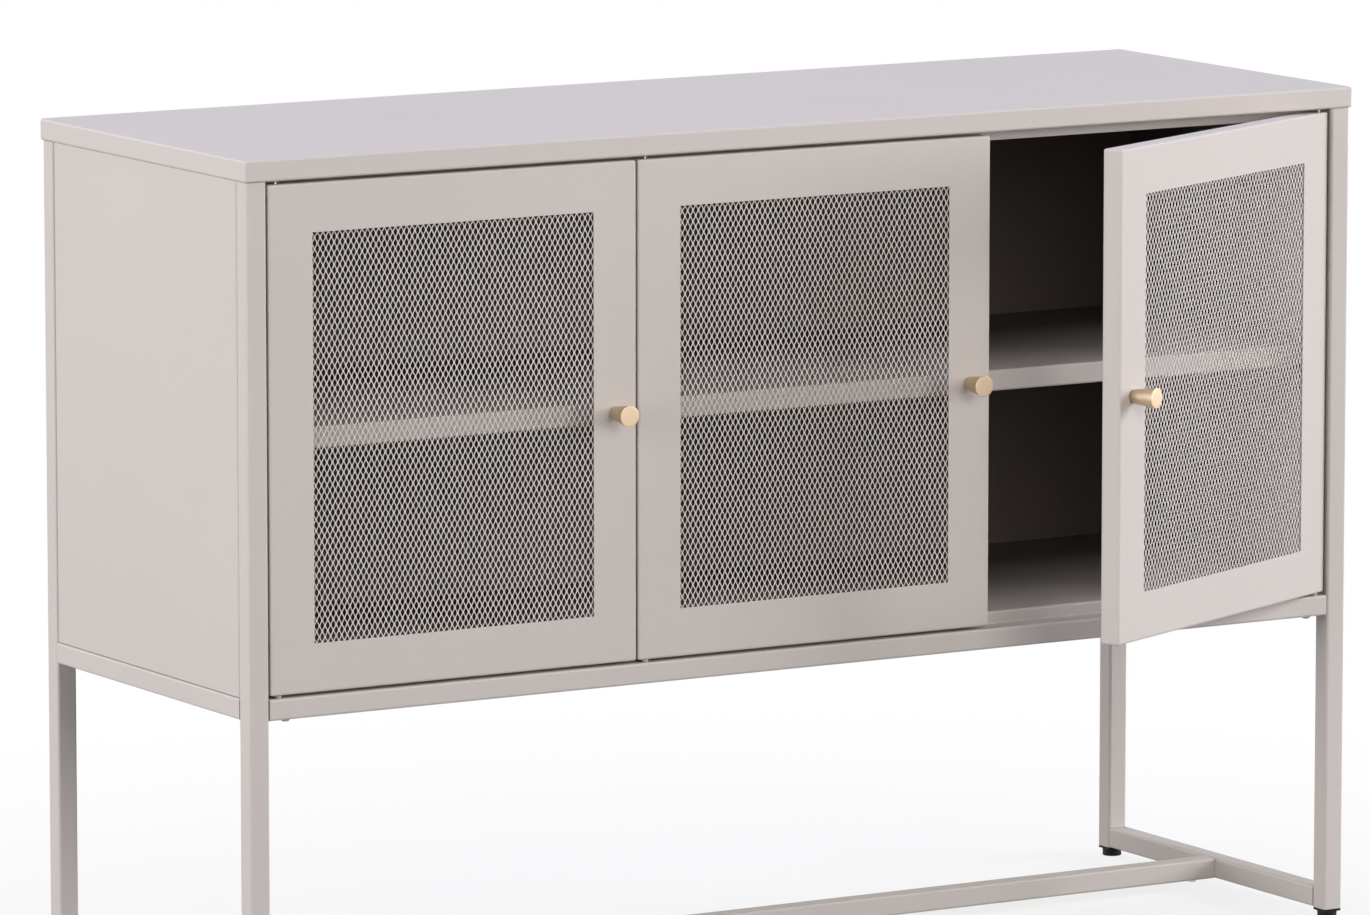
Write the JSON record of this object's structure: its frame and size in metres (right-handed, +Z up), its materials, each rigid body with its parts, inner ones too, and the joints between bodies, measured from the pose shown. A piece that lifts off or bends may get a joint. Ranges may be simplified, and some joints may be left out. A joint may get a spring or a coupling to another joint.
{
  "type": "sideboard",
  "caption": "Low steel cabinet on open tube frames with expanded-metal doors on pivot pins, an inner shelf and levelling feet",
  "frame": {"origin": "middle of the bounding box on the floor, with the right door open as in the picture", "axes": "+X to the right along the width, +Y from the doors to the back, +Z up"},
  "size_m": [1.2, 0.5786, 0.8081],
  "materials": {
    "powder_coat": "satin greige powder coat on steel",
    "mesh_coat": "satin greige powder coat on expanded steel",
    "knob_brass": "pale brushed champagne brass",
    "zinc": "bright zinc plate",
    "black_plastic": "moulded black plastic",
    "nylon": "natural white nylon",
    "magnet": "dark ferrite in plastic"
  },
  "bodies": {
    "cabinet": {"back_panel": "powder_coat", "floor_tray": "powder_coat", "front_left_leg_cap": "black_plastic", "front_left_post": "powder_coat", "front_left_shelf_clip": "zinc", "front_right_leg_cap": "black_plastic", "front_right_post": "powder_coat", "front_right_shelf_clip": "zinc", "left_door_bottom_bush": "nylon", "left_door_top_bush": "nylon", "left_floor_rail": "powder_coat", "left_side_panel": "powder_coat", "left_side_rail": "powder_coat", "left_stretcher_bolt": "zinc", "left_stretcher_tongue": "zinc", "middle_door_bottom_bush": "nylon", "middle_door_top_bush": "nylon", "rear_left_leg_cap": "black_plastic", "rear_left_post": "powder_coat", "rear_left_shelf_clip": "zinc", "rear_right_leg_cap": "black_plastic", "rear_right_post": "powder_coat", "rear_right_shelf_clip": "zinc", "right_door_bottom_bush": "nylon", "right_door_top_bush": "nylon", "right_floor_rail": "powder_coat", "right_side_panel": "powder_coat", "right_side_rail": "powder_coat", "right_stretcher_bolt": "zinc", "right_stretcher_tongue": "zinc", "shelf": "powder_coat", "stretcher": "powder_coat", "top_door_stop": "powder_coat", "top_panel": "powder_coat"},
    "left_door": {"left_door_bottom_pin": "zinc", "left_door_knob": "knob_brass", "left_door_knob_screw": "zinc", "left_door_magnet": "magnet", "left_door_mesh": "mesh_coat", "left_door_pan": "powder_coat", "left_door_top_pin": "zinc"},
    "middle_door": {"middle_door_bottom_pin": "zinc", "middle_door_knob": "knob_brass", "middle_door_knob_screw": "zinc", "middle_door_magnet": "magnet", "middle_door_mesh": "mesh_coat", "middle_door_pan": "powder_coat", "middle_door_top_pin": "zinc"},
    "right_door": {"right_door_bottom_pin": "zinc", "right_door_knob": "knob_brass", "right_door_knob_screw": "zinc", "right_door_magnet": "magnet", "right_door_mesh": "mesh_coat", "right_door_pan": "powder_coat", "right_door_top_pin": "zinc"},
    "front_left_foot": {"front_left_foot": "black_plastic"},
    "front_right_foot": {"front_right_foot": "black_plastic"},
    "rear_left_foot": {"rear_left_foot": "black_plastic"},
    "rear_right_foot": {"rear_right_foot": "black_plastic"}
  },
  "joints": [
    {"name": "left_door_hinge", "type": "hinge", "parent": "cabinet", "child": "left_door", "pos_m": [-0.566, -0.10572, 0.3206], "axis": [0, 0, -1], "range_deg": [0, 110]},
    {"name": "middle_door_hinge", "type": "hinge", "parent": "cabinet", "child": "middle_door", "pos_m": [-0.18133, -0.10572, 0.3206], "axis": [0, 0, -1], "range_deg": [0, 110]},
    {"name": "right_door_hinge", "type": "hinge", "parent": "cabinet", "child": "right_door", "pos_m": [0.566, -0.10572, 0.3206], "axis": [0, 0, 1], "range_deg": [-25.6, 84.4]},
    {"name": "front_left_foot_screw", "type": "slide", "parent": "cabinet", "child": "front_left_foot", "axis": [0, 0, -1], "range_m": [0, 0.008]},
    {"name": "front_right_foot_screw", "type": "slide", "parent": "cabinet", "child": "front_right_foot", "axis": [0, 0, -1], "range_m": [0, 0.008]},
    {"name": "rear_left_foot_screw", "type": "slide", "parent": "cabinet", "child": "rear_left_foot", "axis": [0, 0, -1], "range_m": [0, 0.008]},
    {"name": "rear_right_foot_screw", "type": "slide", "parent": "cabinet", "child": "rear_right_foot", "axis": [0, 0, -1], "range_m": [0, 0.008]}
  ]
}
